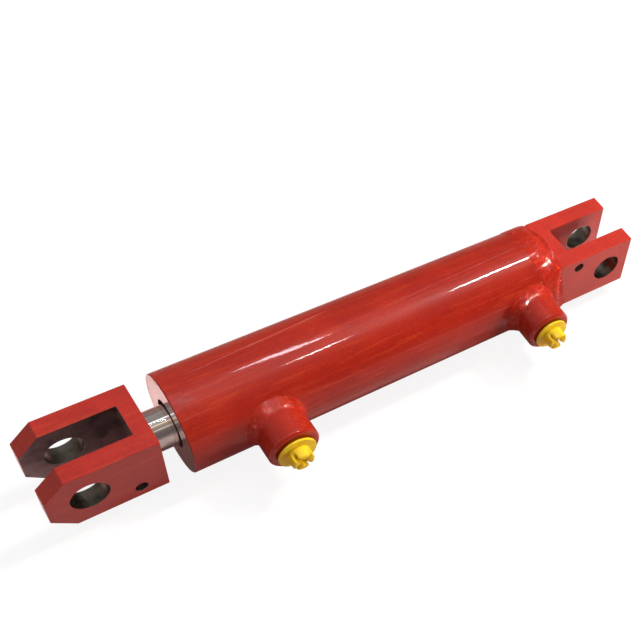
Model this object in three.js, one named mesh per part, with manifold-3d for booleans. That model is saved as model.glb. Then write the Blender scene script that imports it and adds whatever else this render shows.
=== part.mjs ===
// Double-acting hydraulic cylinder with a welded clevis at each end, modelled fully retracted.
// Millimetres. X runs along the cylinder from the rod end (-X) to the base end (+X), the oil ports
// face -Y and Z is up. The origin is the centre of the flat face at the bottom of the base slot.

import * as THREE from "three";
import { ParametricGeometry } from "three/addons/geometries/ParametricGeometry.js";
import { mergeVertices } from "three/addons/utils/BufferGeometryUtils.js";
import Module from "manifold-3d";

const wasm = await Module();
wasm.setup();

// ---- Driving dimensions -------------------------------------------------------------------------

const CLOSED_LENGTH = 350; // pin centre to pin centre, retracted
const STROKE = 125;
const BARREL_RADIUS = 31;
const BORE_RADIUS = 25;
const ROD_RADIUS = 12.5;
const PIN_HOLE_RADIUS = 10.25;

// Blocks: length along X, width along Y, height along Z. Slots are measured from the open end.
const BASE_CLEVIS = { length: 59.5, width: 44.5, height: 42.5, slot: 21, slotDepth: 47.5, pinInset: 18 };
const ROD_CLEVIS = { length: 62, width: 45, height: 42, slot: 21.5, slotDepth: 52.5, pinInset: 22 };
const ROD_CLEVIS_CHAMFER = 12;
const BASE_SLOT_FILLET = 3;
const BASE_KEEPER = { fromPin: -26, z: 13.5, radius: 3.6 }; // tapped hole for a pin keeper bolt
const ROD_KEEPER = { fromPin: 25.5, z: -13, radius: 3.4 };

const CLEVIS_GAP = 13; // rod clevis to gland face, retracted
const PORT_INSETS = { rod: 50, base: 229 }; // port centres, from the gland face
const PORT_FACE = 50; // port end faces, from the cylinder axis
const PORT_BOSS_RADIUS = 15.5;
const PORT_BOSS_CHAMFER = 1.5;
const PORT_THREAD_RADIUS = 8.3;
const PORT_THREAD_DEPTH = 13;
const PORT_DRILL_RADIUS = 4.5;

const RUNNING_GAP = 0.2; // radial gap between a ring and what turns inside it
const GROOVE_GAP = 0.05; // gap of a ring to the walls of its groove
const END_GAP = 0.5; // piston to gland nose, fully extended
const WELD_GAP = 0.02; // gap of a weld to the pieces that it joins
const SEGMENTS = 32;
const PAST = 1; // how far a cutter reaches past the face that it cuts

// ---- Stations along X ---------------------------------------------------------------------------

const BASE_REAR = BASE_CLEVIS.slotDepth;
const BASE_FRONT = BASE_REAR - BASE_CLEVIS.length;
const BASE_PIN = BASE_REAR - BASE_CLEVIS.pinInset;
const ROD_PIN = BASE_PIN - CLOSED_LENGTH;
const ROD_CLEVIS_FRONT = ROD_PIN - ROD_CLEVIS.pinInset;
const ROD_CLEVIS_REAR = ROD_CLEVIS_FRONT + ROD_CLEVIS.length;
const GLAND_FACE = ROD_CLEVIS_REAR + CLEVIS_GAP;
const ROD_PORT = GLAND_FACE + PORT_INSETS.rod;
const BASE_PORT = GLAND_FACE + PORT_INSETS.base;

const GLAND_FLANGE = 8;
const TUBE_FRONT = GLAND_FACE + GLAND_FLANGE;
const TUBE_REAR = -25;
const WELD_FRONT = -30;
const THREAD_LENGTH = 16;
const THREAD_RADIUS = 27;
const GLAND_LAND_END = ROD_PORT - 11;
const GLAND_NOSE_END = ROD_PORT + 9.5;
const GLAND_NOSE_RADIUS = 21.5;
const CAP_SPIGOT_FRONT = BASE_PORT + 5.5;
const CAP_RADIUS = 27;

const PISTON_FRONT = GLAND_NOSE_END + END_GAP + STROKE;
const PISTON_LENGTH = 34;
const PISTON_REAR = PISTON_FRONT + PISTON_LENGTH;
const PISTON_RADIUS = 24.75;
const PISTON_EDGE = 1; // chamfer on the piston's rims
const SHANK_RADIUS = 10; // stepped and threaded rod end that carries the piston
const NUT_LENGTH = 14;
const NUT_FLATS = 30;

// Ring grooves, each from `start` to `end` along X and from the running surface to `radius`.
const WIPER_GROOVE = { start: GLAND_FACE + 4.7, end: GLAND_FACE + 9.7, radius: 16.9 };
const ROD_SEAL_GROOVE = { start: GLAND_FACE + 14, end: GLAND_FACE + 21, radius: 17.1 };
const FRONT_GUIDE_GROOVE = { start: GLAND_FACE + 25.5, end: GLAND_FACE + 34.5, radius: 15 };
const REAR_GUIDE_GROOVE = { start: GLAND_FACE + 43, end: GLAND_FACE + 54, radius: 15 };
const GLAND_O_RING_GROOVE = { start: GLAND_FACE + 28, end: GLAND_FACE + 34, radius: 22.5 };
const GLAND_BACKUP_START = GLAND_O_RING_GROOVE.end - 2;
const FRONT_WEAR_GROOVE = { start: PISTON_FRONT + 3, end: PISTON_FRONT + 10, radius: 22.5 };
const PISTON_SEAL_GROOVE = { start: PISTON_FRONT + 14, end: PISTON_FRONT + 20, radius: 19 };
const REAR_WEAR_GROOVE = { start: PISTON_FRONT + 24, end: PISTON_FRONT + 31, radius: 22.5 };
const PISTON_O_RING_GROOVE = { start: PISTON_FRONT + 15, end: PISTON_FRONT + 18.5, radius: 12.2 };

// ---- Geometry helpers ---------------------------------------------------------------------------

/** The geometry as a manifold-3d solid, with its shared vertices merged. */
function solid(geometry) {
  const bare = new THREE.BufferGeometry();
  bare.setAttribute("position", geometry.getAttribute("position"));
  bare.setIndex(geometry.getIndex());
  const merged = mergeVertices(bare, 1e-4);
  const mesh = new wasm.Mesh({
    numProp: 3,
    vertProperties: merged.getAttribute("position").array,
    triVerts: new Uint32Array(merged.getIndex().array),
  });
  return new wasm.Manifold(mesh);
}

/** A manifold-3d solid back as a flat-shaded geometry. */
function geometryOf(body) {
  const mesh = body.getMesh();
  const indexed = new THREE.BufferGeometry();
  indexed.setAttribute("position", new THREE.BufferAttribute(mesh.vertProperties, 3));
  indexed.setIndex(new THREE.BufferAttribute(mesh.triVerts, 1));
  const geometry = indexed.toNonIndexed();
  geometry.computeVertexNormals();
  return geometry;
}

/** Turns a profile of [x, radius] points about the X axis. A profile off the axis closes on itself. */
function turned(profile, segments = SEGMENTS) {
  const points = profile.map(([x, radius]) => new THREE.Vector2(radius, x));
  if (THREE.ShapeUtils.isClockWise(points)) points.reverse();
  if (points[0].x > 0) points.push(points[0].clone());
  return solid(new THREE.LatheGeometry(points, segments).rotateZ(-Math.PI / 2));
}

/** A tube or ring along X. */
function ring(start, end, inner, outer) {
  return turned([[start, inner], [start, outer], [end, outer], [end, inner]]);
}

/** A plain round bar along X. */
function bar(start, end, radius) {
  return turned([[start, 0], [start, radius], [end, radius], [end, 0]]);
}

/** A round bar along Y, between y = low and y = high. */
function crossBar(x, z, radius, low, high) {
  const geometry = new THREE.CylinderGeometry(radius, radius, high - low, SEGMENTS);
  return solid(geometry.translate(x, (low + high) / 2, z));
}

function box(x, y, z) {
  const geometry = new THREE.BoxGeometry(x[1] - x[0], y[1] - y[0], z[1] - z[0]);
  return solid(geometry.translate((x[0] + x[1]) / 2, (y[0] + y[1]) / 2, (z[0] + z[1]) / 2));
}

/** A ring that fills a groove cut outwards from the rod surface. */
function rodRing(groove) {
  const outer = groove.radius - GROOVE_GAP;
  return ring(groove.start + GROOVE_GAP, groove.end - GROOVE_GAP, ROD_RADIUS + RUNNING_GAP, outer);
}

/** A ring that stands in a groove, between two radii. */
function grooveRing(groove, inner, outer) {
  return ring(groove.start + GROOVE_GAP, groove.end - GROOVE_GAP, inner, outer);
}

/** A ring on the piston, from the bottom of its groove out to the barrel's bore. */
function pistonRing(groove) {
  return grooveRing(groove, groove.radius + RUNNING_GAP, BORE_RADIUS - GROOVE_GAP);
}

function material(color, roughness, metalness) {
  return new THREE.MeshStandardMaterial({ color, roughness, metalness });
}

/** A named mesh, with a material of its own. */
function part(name, body, look) {
  const mesh = new THREE.Mesh(geometryOf(body), look.clone());
  mesh.name = name;
  return mesh;
}

const redPaint = material(0xc2281f, 0.3, 0.0);
const bareSteel = material(0x9a9590, 0.35, 1.0);
const chrome = material(0xd8d8d8, 0.08, 1.0);
const castIron = material(0x5a5a58, 0.6, 0.8);
const nitrile = material(0x1c1c1c, 0.7, 0.0);
const polyurethane = material(0x1f4f9a, 0.5, 0.0);
const nylon = material(0xd9d2bd, 0.5, 0.0);
const yellowPlastic = material(0xecc81f, 0.4, 0.0);

// ---- Barrel -------------------------------------------------------------------------------------

/** The barrel's outside as a solid bar up to the base clevis, used to trim what stands on it. */
function barrelEnvelope() {
  return bar(TUBE_FRONT, BASE_FRONT, BARREL_RADIUS + WELD_GAP);
}

function barrelTube() {
  const threadEnd = TUBE_FRONT + THREAD_LENGTH;
  const tube = turned([
    [TUBE_FRONT, THREAD_RADIUS + GROOVE_GAP],
    [TUBE_FRONT, BARREL_RADIUS],
    [WELD_FRONT, BARREL_RADIUS],
    [TUBE_REAR, CAP_RADIUS],
    [TUBE_REAR, BORE_RADIUS],
    [threadEnd, BORE_RADIUS],
    [threadEnd, THREAD_RADIUS + GROOVE_GAP],
  ]);
  const drills = [ROD_PORT, BASE_PORT].map((x) => crossBar(x, 0, PORT_DRILL_RADIUS, -40, 0));
  return drills.reduce((body, drill) => body.subtract(drill), tube);
}

// ---- Gland --------------------------------------------------------------------------------------

const GLAND_MOUTH_RADIUS = 15.3;
const GLAND_EDGE = 1; // chamfer round the gland's front face
const GLAND_THREAD_RELIEF = 1; // the tube's thread runs this much further than the gland's
const WIPER_LIP = { start: GLAND_FACE + 1.2, tip: 0.4 };
const OIL_SLOT_WIDTH = 6;
const OIL_SLOT_DEPTH = 4;

/** Two crossed slots that let oil past the gland's nose when the piston rests against it. */
function oilSlots() {
  const x = [GLAND_NOSE_END - OIL_SLOT_DEPTH, GLAND_NOSE_END + PAST];
  const across = [-OIL_SLOT_WIDTH / 2, OIL_SLOT_WIDTH / 2];
  const through = [-BORE_RADIUS, BORE_RADIUS];
  return [box(x, across, through), box(x, through, across)];
}

/** Screwed-in gland: a flange over the tube's end, a thread, an O-ring land and a guide nose. */
function gland() {
  const bore = ROD_RADIUS + RUNNING_GAP;
  const land = BORE_RADIUS - GROOVE_GAP;
  const threadEnd = TUBE_FRONT + THREAD_LENGTH - GLAND_THREAD_RELIEF;
  const innerGrooves = [ROD_SEAL_GROOVE, FRONT_GUIDE_GROOVE, REAR_GUIDE_GROOVE]
    .flatMap(({ start, end, radius }) => [[start, bore], [start, radius], [end, radius], [end, bore]]);
  const oRing = GLAND_O_RING_GROOVE;
  const blank = turned([
    [GLAND_FACE, GLAND_MOUTH_RADIUS],
    [WIPER_GROOVE.start, GLAND_MOUTH_RADIUS],
    [WIPER_GROOVE.start, WIPER_GROOVE.radius],
    [WIPER_GROOVE.end, WIPER_GROOVE.radius],
    [WIPER_GROOVE.end, bore],
    ...innerGrooves,
    [GLAND_NOSE_END, bore],
    [GLAND_NOSE_END, GLAND_NOSE_RADIUS],
    [GLAND_LAND_END, GLAND_NOSE_RADIUS],
    [GLAND_LAND_END, land],
    [oRing.end, land],
    [oRing.end, oRing.radius],
    [oRing.start, oRing.radius],
    [oRing.start, land],
    [threadEnd, land],
    [threadEnd, THREAD_RADIUS],
    [TUBE_FRONT, THREAD_RADIUS],
    [TUBE_FRONT, BARREL_RADIUS],
    [GLAND_FACE + GLAND_EDGE, BARREL_RADIUS],
    [GLAND_FACE, BARREL_RADIUS - GLAND_EDGE],
  ]);
  return oilSlots().reduce((body, slot) => body.subtract(slot), blank);
}

/** A ring in the gland's outer groove, which the O-ring shares with its backup ring. */
function glandGrooveRing(start, end) {
  const inner = GLAND_O_RING_GROOVE.radius + GROOVE_GAP;
  return grooveRing({ start, end }, inner, BORE_RADIUS - GROOVE_GAP);
}

function glandORing() {
  return glandGrooveRing(GLAND_O_RING_GROOVE.start, GLAND_BACKUP_START);
}

function glandBackupRing() {
  return glandGrooveRing(GLAND_BACKUP_START, GLAND_O_RING_GROOVE.end);
}

/** The wiper fills its groove, and its lip reaches forwards along the rod into the gland's mouth. */
function rodWiper() {
  const { start, end, radius } = WIPER_GROOVE;
  const inner = ROD_RADIUS + RUNNING_GAP;
  return turned([
    [WIPER_LIP.start, inner],
    [WIPER_LIP.start, inner + WIPER_LIP.tip],
    [start + GROOVE_GAP, GLAND_MOUTH_RADIUS - RUNNING_GAP],
    [start + GROOVE_GAP, radius - GROOVE_GAP],
    [end - GROOVE_GAP, radius - GROOVE_GAP],
    [end - GROOVE_GAP, inner],
  ]);
}

// ---- Base end -----------------------------------------------------------------------------------

const LEAD_IN = 1; // chamfer that starts a piece into its bore

/** Cap whose spigot fits the tube's bore and whose rim the tube's end is welded to. */
function baseCap() {
  return turned([
    [CAP_SPIGOT_FRONT, 0],
    [CAP_SPIGOT_FRONT, BORE_RADIUS - LEAD_IN],
    [CAP_SPIGOT_FRONT + LEAD_IN, BORE_RADIUS - GROOVE_GAP],
    [TUBE_REAR, BORE_RADIUS - GROOVE_GAP],
    [TUBE_REAR, CAP_RADIUS],
    [BASE_FRONT, CAP_RADIUS],
    [BASE_FRONT, 0],
  ]);
}

/** What the base clevis's slot takes away: open at its rear, with rounded corners at its bottom. */
function baseSlotCutter() {
  const { height, slot } = BASE_CLEVIS;
  const half = slot / 2;
  const fillet = BASE_SLOT_FILLET;
  const open = BASE_REAR + PAST;
  const shape = new THREE.Shape();
  shape.moveTo(open, -half);
  shape.lineTo(fillet, -half);
  shape.quadraticCurveTo(0, -half, 0, fillet - half);
  shape.lineTo(0, half - fillet);
  shape.quadraticCurveTo(0, half, fillet, half);
  shape.lineTo(open, half);
  const depth = height + 2 * PAST;
  const geometry = new THREE.ExtrudeGeometry(shape, { depth, bevelEnabled: false, curveSegments: 6 });
  return solid(geometry.translate(0, 0, -depth / 2));
}

/** Pin hole through both ears, and the keeper bolt's hole through the ear on the port side. */
function drillClevis(block, clevis, keeper, pinX) {
  const reach = clevis.width / 2 + PAST;
  return block
    .subtract(crossBar(pinX, 0, PIN_HOLE_RADIUS, -reach, reach))
    .subtract(crossBar(pinX + keeper.fromPin, keeper.z, keeper.radius, -reach, 0));
}

// The weld's outline: a low crown over the tube's end, then a shoulder that falls to the clevis,
// whose front end is turned down to a cone that the weld surrounds.
const BASE_WELD = {
  crown: BARREL_RADIUS + 0.6,
  crownStart: WELD_FRONT + 3,
  crownEnd: WELD_FRONT + 11,
  shoulder: { x: BASE_FRONT + 4, radius: 27 },
  toe: { x: BASE_FRONT + 9, radius: 21 },
  neckRadius: 18,
};

/** The bead from the barrel's end over the cap to the clevis. `gap` grows it on the clevis's side. */
function baseBead(gap) {
  const { crown, crownStart, crownEnd, shoulder, toe, neckRadius } = BASE_WELD;
  return turned([
    [WELD_FRONT, BARREL_RADIUS + gap],
    [crownStart, crown + gap],
    [crownEnd, crown + gap],
    [BASE_FRONT - 1, BARREL_RADIUS + gap],
    [shoulder.x, shoulder.radius + gap],
    [toe.x + gap, toe.radius],
    [BASE_FRONT, neckRadius - gap],
    [BASE_FRONT, CAP_RADIUS],
    [TUBE_REAR, CAP_RADIUS],
  ]);
}

/** The clevis, with its front end cut away for the weld, except where its corners stand proud of it. */
function baseClevis() {
  const { width, height } = BASE_CLEVIS;
  const block = box([BASE_FRONT, BASE_REAR], [-width / 2, width / 2], [-height / 2, height / 2]);
  const slotted = block.subtract(baseSlotCutter()).subtract(baseBead(WELD_GAP));
  return drillClevis(slotted, BASE_CLEVIS, BASE_KEEPER, BASE_PIN);
}

/** The bead, cut back round the port's boss and the weld of that boss. */
function baseWeld() {
  return baseBead(0).subtract(bossBlank(BASE_PORT, WELD_GAP).add(saddleBead(BASE_PORT)));
}

// ---- Oil ports ----------------------------------------------------------------------------------

/** The boss, a `gap` wider, before it is shaped to the barrel and bored: it runs into the barrel. */
function bossBlank(x, gap = 0) {
  const radius = PORT_BOSS_RADIUS + gap;
  const profile = [
    new THREE.Vector2(0, -BORE_RADIUS),
    new THREE.Vector2(radius, -BORE_RADIUS),
    new THREE.Vector2(radius, PORT_BOSS_CHAMFER - PORT_FACE),
    new THREE.Vector2(radius - PORT_BOSS_CHAMFER, -PORT_FACE),
    new THREE.Vector2(0, -PORT_FACE),
  ];
  if (THREE.ShapeUtils.isClockWise(profile)) profile.reverse();
  return solid(new THREE.LatheGeometry(profile, SEGMENTS).translate(x, 0, 0));
}

/** A round boss that sits on the barrel, bored and tapped for a hose fitting. */
function portBoss(x) {
  return bossBlank(x)
    .subtract(barrelEnvelope())
    .subtract(crossBar(x, 0, PORT_THREAD_RADIUS, -PORT_FACE - PAST, PORT_THREAD_DEPTH - PORT_FACE))
    .subtract(crossBar(x, 0, PORT_DRILL_RADIUS, -PORT_FACE, 0));
}

const PORT_WELD_LEG = 4.5;
const PORT_WELD_CROWN = 0.55; // how far out the bead's middle stands, as a share of its leg
const PORT_WELD_TOE = 0.4; // how far the bead's toes dip into the boss and the barrel
const PORT_WELD_ROOT = 1.5; // how far the untrimmed bead reaches into the boss and the barrel

/** A bead along the saddle line where the boss meets the barrel, reaching a little into both. */
function saddleBead(x) {
  const surfaceY = (z) => -Math.sqrt(BARREL_RADIUS ** 2 - z ** 2);
  const corners = [
    { out: -PORT_WELD_ROOT, up: -PORT_WELD_ROOT },
    { out: PORT_WELD_LEG, up: -PORT_WELD_TOE },
    { out: PORT_WELD_LEG * PORT_WELD_CROWN, up: PORT_WELD_LEG * PORT_WELD_CROWN },
    { out: -PORT_WELD_TOE, up: PORT_WELD_LEG },
  ];
  function surface(u, v, target) {
    const turn = (u % 1) * 2 * Math.PI;
    const corner = corners[Math.round(v * corners.length) % corners.length];
    const radius = PORT_BOSS_RADIUS + corner.out;
    const z = radius * Math.sin(turn);
    target.set(x + radius * Math.cos(turn), surfaceY(z) - corner.up, z);
  }
  return solid(new ParametricGeometry(surface, SEGMENTS, corners.length));
}

/** The fillet weld round a boss: the bead outside both the boss and the barrel. */
function portWeld(x) {
  return saddleBead(x).subtract(barrelEnvelope().add(bossBlank(x, WELD_GAP)));
}

// Plug lengths run along its axis: the stem from the port's face inwards, the head from the flange out.
const PLUG = {
  flangeRadius: 11.6,
  flange: 1.6,
  stemRadius: 7.9,
  stem: 9,
  headRadius: 6.9,
  head: 7.8,
  slotWidth: 2.2,
  slotDepth: 5.5,
};
const PLUG_STANDOFF = 1.2; // the flange stops just short of the port's end face

/** Dust plug: a stem in the port, a flange, and a round head with two crossed slots. */
function portPlug(x, turn) {
  const flangeBack = -PORT_FACE - PLUG_STANDOFF;
  const flangeFront = flangeBack - PLUG.flange;
  const headEnd = flangeFront - PLUG.head;
  const middle = (flangeFront + flangeBack) / 2;
  const body = crossBar(x, 0, PLUG.flangeRadius, flangeFront, flangeBack)
    .add(crossBar(x, 0, PLUG.stemRadius, middle, PLUG.stem - PORT_FACE))
    .add(crossBar(x, 0, PLUG.headRadius, headEnd, middle));
  const slots = [turn, turn + Math.PI / 2].map((angle) => {
    const depth = PLUG.slotDepth + PAST;
    const cutter = new THREE.BoxGeometry(PLUG.slotWidth, depth, 3 * PLUG.headRadius);
    return solid(cutter.rotateY(angle).translate(x, headEnd - PAST + depth / 2, 0));
  });
  return slots.reduce((plug, slot) => plug.subtract(slot), body);
}

// ---- Piston and rod -----------------------------------------------------------------------------

const ROD_SPIGOT = { radius: 9, length: ROD_CLEVIS.length - ROD_CLEVIS.slotDepth };
const ROD_SEAT = ROD_CLEVIS_REAR - 3.5; // the rod's shoulder, inside the clevis

/** Chromed rod: a spigot for the clevis, the running length, and a stepped end for the piston. */
function pistonRod() {
  return turned([
    [ROD_CLEVIS_REAR - ROD_SPIGOT.length, 0],
    [ROD_CLEVIS_REAR - ROD_SPIGOT.length, ROD_SPIGOT.radius],
    [ROD_SEAT, ROD_SPIGOT.radius],
    [ROD_SEAT, ROD_RADIUS],
    [PISTON_FRONT, ROD_RADIUS],
    [PISTON_FRONT, SHANK_RADIUS],
    [PISTON_REAR + NUT_LENGTH, SHANK_RADIUS],
    [PISTON_REAR + NUT_LENGTH, 0],
  ]);
}

function piston() {
  const bore = SHANK_RADIUS + GROOVE_GAP;
  const grooves = [REAR_WEAR_GROOVE, PISTON_SEAL_GROOVE, FRONT_WEAR_GROOVE]
    .flatMap(({ start, end, radius }) => [
      [end, PISTON_RADIUS],
      [end, radius],
      [start, radius],
      [start, PISTON_RADIUS],
    ]);
  const { start, end, radius } = PISTON_O_RING_GROOVE;
  return turned([
    [PISTON_FRONT, bore],
    [start, bore],
    [start, radius],
    [end, radius],
    [end, bore],
    [PISTON_REAR, bore],
    [PISTON_REAR, PISTON_RADIUS - PISTON_EDGE],
    [PISTON_REAR - PISTON_EDGE, PISTON_RADIUS],
    ...grooves,
    [PISTON_FRONT + PISTON_EDGE, PISTON_RADIUS],
    [PISTON_FRONT, PISTON_RADIUS - PISTON_EDGE],
  ]);
}

const SEAL_SPLIT_RADIUS = 22; // slipper seal outside, rubber energizer inside

function pistonSeal() {
  return grooveRing(PISTON_SEAL_GROOVE, SEAL_SPLIT_RADIUS, BORE_RADIUS - GROOVE_GAP);
}

function pistonSealEnergizer() {
  const inner = PISTON_SEAL_GROOVE.radius + RUNNING_GAP;
  return grooveRing(PISTON_SEAL_GROOVE, inner, SEAL_SPLIT_RADIUS - GROOVE_GAP);
}

/** Static seal between the piston and the rod's shank. */
function pistonORing() {
  const { radius } = PISTON_O_RING_GROOVE;
  return grooveRing(PISTON_O_RING_GROOVE, SHANK_RADIUS + GROOVE_GAP, radius - GROOVE_GAP);
}

function pistonLockNut() {
  const corner = NUT_FLATS / Math.sqrt(3);
  const blank = new THREE.CylinderGeometry(corner, corner, NUT_LENGTH, 6).rotateZ(Math.PI / 2);
  const middle = PISTON_REAR + NUT_LENGTH / 2;
  const hole = bar(PISTON_REAR - PAST, PISTON_REAR + NUT_LENGTH + PAST, SHANK_RADIUS + GROOVE_GAP);
  return solid(blank.translate(middle, 0, 0)).subtract(hole);
}

// ---- Rod clevis ---------------------------------------------------------------------------------

const ROD_WELD_LEG = 2.5;
const ROD_WELD_CROWN = 0.5; // how far the bead swells out of the clevis's rear face

/** What the rod's seat takes out of the clevis: spigot hole, seat, and a countersink for the weld. */
function rodSocket(root) {
  const past = ROD_CLEVIS_REAR + PAST;
  const throat = ROD_RADIUS + WELD_GAP;
  const sink = ROD_CLEVIS_REAR - ROD_WELD_LEG - 2 * WELD_GAP;
  return bar(root - PAST, past, ROD_SPIGOT.radius + GROOVE_GAP)
    .add(bar(ROD_SEAT, past, ROD_RADIUS + GROOVE_GAP))
    .add(turned([[sink, 0], [sink, throat], [past, throat + past - sink], [past, 0]]));
}

function rodClevis() {
  const { width, height, slot } = ROD_CLEVIS;
  const chamfer = ROD_CLEVIS_CHAMFER;
  const half = height / 2;
  const side = new THREE.Shape();
  side.moveTo(ROD_CLEVIS_FRONT + chamfer, -half);
  side.lineTo(ROD_CLEVIS_REAR, -half);
  side.lineTo(ROD_CLEVIS_REAR, half);
  side.lineTo(ROD_CLEVIS_FRONT + chamfer, half);
  side.lineTo(ROD_CLEVIS_FRONT, half - chamfer);
  side.lineTo(ROD_CLEVIS_FRONT, chamfer - half);
  const block = new THREE.ExtrudeGeometry(side, { depth: width, bevelEnabled: false });
  block.translate(0, 0, -width / 2).rotateX(Math.PI / 2);
  const root = ROD_CLEVIS_FRONT + ROD_CLEVIS.slotDepth;
  const slotBox = box([ROD_CLEVIS_FRONT - PAST, root], [-slot / 2, slot / 2], [-height, height]);
  const slotted = solid(block).subtract(slotBox).subtract(rodSocket(root));
  return drillClevis(slotted, ROD_CLEVIS, ROD_KEEPER, ROD_PIN);
}

/** A bead that fills the countersink round the rod, nearly flush with the clevis's rear face. */
function rodClevisWeld() {
  const throat = ROD_RADIUS + WELD_GAP;
  return turned([
    [ROD_CLEVIS_REAR - ROD_WELD_LEG, throat],
    [ROD_CLEVIS_REAR, throat + ROD_WELD_LEG],
    [ROD_CLEVIS_REAR + ROD_WELD_CROWN, throat + ROD_WELD_LEG / 2],
    [ROD_CLEVIS_REAR, throat],
  ]);
}

// ---- Assembly -----------------------------------------------------------------------------------

const barrelGroup = new THREE.Group();
barrelGroup.add(
  part("barrel_tube", barrelTube(), redPaint),
  part("base_cap", baseCap(), bareSteel),
  part("base_clevis", baseClevis(), redPaint),
  part("base_weld", baseWeld(), redPaint),
  part("rod_port_boss", portBoss(ROD_PORT), redPaint),
  part("rod_port_weld", portWeld(ROD_PORT), redPaint),
  part("base_port_boss", portBoss(BASE_PORT), redPaint),
  part("base_port_weld", portWeld(BASE_PORT), redPaint),
);

const glandGroup = new THREE.Group();
glandGroup.add(
  part("gland", gland(), bareSteel),
  part("gland_o_ring", glandORing(), nitrile),
  part("gland_backup_ring", glandBackupRing(), nylon),
  part("rod_wiper", rodWiper(), nitrile),
  part("rod_seal", rodRing(ROD_SEAL_GROOVE), polyurethane),
  part("rod_guide_ring_front", rodRing(FRONT_GUIDE_GROOVE), nylon),
  part("rod_guide_ring_rear", rodRing(REAR_GUIDE_GROOVE), nylon),
);

const pistonRingGroup = new THREE.Group();
pistonRingGroup.add(
  part("piston_seal", pistonSeal(), polyurethane),
  part("piston_seal_energizer", pistonSealEnergizer(), nitrile),
  part("piston_wear_ring_front", pistonRing(FRONT_WEAR_GROOVE), nylon),
  part("piston_wear_ring_rear", pistonRing(REAR_WEAR_GROOVE), nylon),
);

const rodGroup = new THREE.Group();
rodGroup.add(
  part("piston_rod", pistonRod(), chrome),
  part("piston", piston(), castIron),
  part("piston_o_ring", pistonORing(), nitrile),
  part("piston_lock_nut", pistonLockNut(), bareSteel),
  part("rod_clevis", rodClevis(), redPaint),
  part("rod_clevis_weld", rodClevisWeld(), redPaint),
);

const plugGroup = new THREE.Group();
plugGroup.add(
  part("rod_port_plug", portPlug(ROD_PORT, THREE.MathUtils.degToRad(52)), yellowPlastic),
  part("base_port_plug", portPlug(BASE_PORT, THREE.MathUtils.degToRad(50)), yellowPlastic),
);

const hydraulicCylinder = new THREE.Group();
hydraulicCylinder.name = "hydraulic_cylinder";
hydraulicCylinder.add(barrelGroup, glandGroup, pistonRingGroup, rodGroup, plugGroup);

export default hydraulicCylinder;
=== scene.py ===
"""Red welded hydraulic cylinder: fine meshes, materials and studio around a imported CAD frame.

Metres throughout. X runs along the cylinder from the rod end to the base end, the oil ports face -Y and
Z is up. The origin is the centre of the flat face at the bottom of the base clevis's slot.
"""

import math

import bmesh
import bpy
import numpy as np
from mathutils import Matrix, Vector


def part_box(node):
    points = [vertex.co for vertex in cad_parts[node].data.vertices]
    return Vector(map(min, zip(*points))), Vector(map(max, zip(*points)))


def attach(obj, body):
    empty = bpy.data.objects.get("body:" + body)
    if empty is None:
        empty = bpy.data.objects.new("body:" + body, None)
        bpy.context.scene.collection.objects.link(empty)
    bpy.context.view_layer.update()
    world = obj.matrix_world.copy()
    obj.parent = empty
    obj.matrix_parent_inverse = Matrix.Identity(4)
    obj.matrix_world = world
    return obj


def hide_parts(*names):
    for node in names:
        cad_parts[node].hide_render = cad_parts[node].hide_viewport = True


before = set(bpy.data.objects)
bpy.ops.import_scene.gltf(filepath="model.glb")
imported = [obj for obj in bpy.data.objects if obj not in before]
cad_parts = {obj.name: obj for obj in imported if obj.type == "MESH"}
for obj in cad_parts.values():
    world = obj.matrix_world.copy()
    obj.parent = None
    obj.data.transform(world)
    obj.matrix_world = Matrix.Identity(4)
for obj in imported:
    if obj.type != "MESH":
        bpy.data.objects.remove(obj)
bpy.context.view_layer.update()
scene = bpy.context.scene

MM = 0.001

# ---- Places taken from the frame ----


def span(node, axis):
    """(lowest, highest) coordinate of a CAD node along axis 0, 1 or 2."""
    low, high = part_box(node)
    return low[axis], high[axis]


def node_points(node):
    return np.array([v.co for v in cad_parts[node].data.vertices])


def inner_radius(node):
    points = node_points(node)
    return float(np.hypot(points[:, 1], points[:, 2]).min())


def outer_radius(node):
    return span(node, 1)[1]


GLAND_FACE, GLAND_END = span("gland", 0)
TUBE_FRONT, TUBE_REAR = span("barrel_tube", 0)
WELD_FRONT = span("base_weld", 0)[0]
BASE_FRONT, BASE_REAR = span("base_clevis", 0)
ROD_CLEVIS_FRONT, ROD_CLEVIS_REAR = span("rod_clevis", 0)
ROD_FRONT, ROD_END = span("piston_rod", 0)
PISTON_FRONT, PISTON_REAR = span("piston", 0)
BARREL_RADIUS = outer_radius("barrel_tube")
WELD_RADIUS = outer_radius("base_weld")
BORE_RADIUS = inner_radius("barrel_tube")
ROD_RADIUS = outer_radius("piston_rod")
CAP_RADIUS = outer_radius("base_cap")
PORTS = {"rod": sum(span("rod_port_boss", 0)) / 2, "base": sum(span("base_port_boss", 0)) / 2}
PORT_FACE = span("rod_port_boss", 1)[0]
BOSS_RADIUS = (span("rod_port_boss", 0)[1] - span("rod_port_boss", 0)[0]) / 2

# ---- Sizes shared with the CAD that a node's box doesn't give ----

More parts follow.
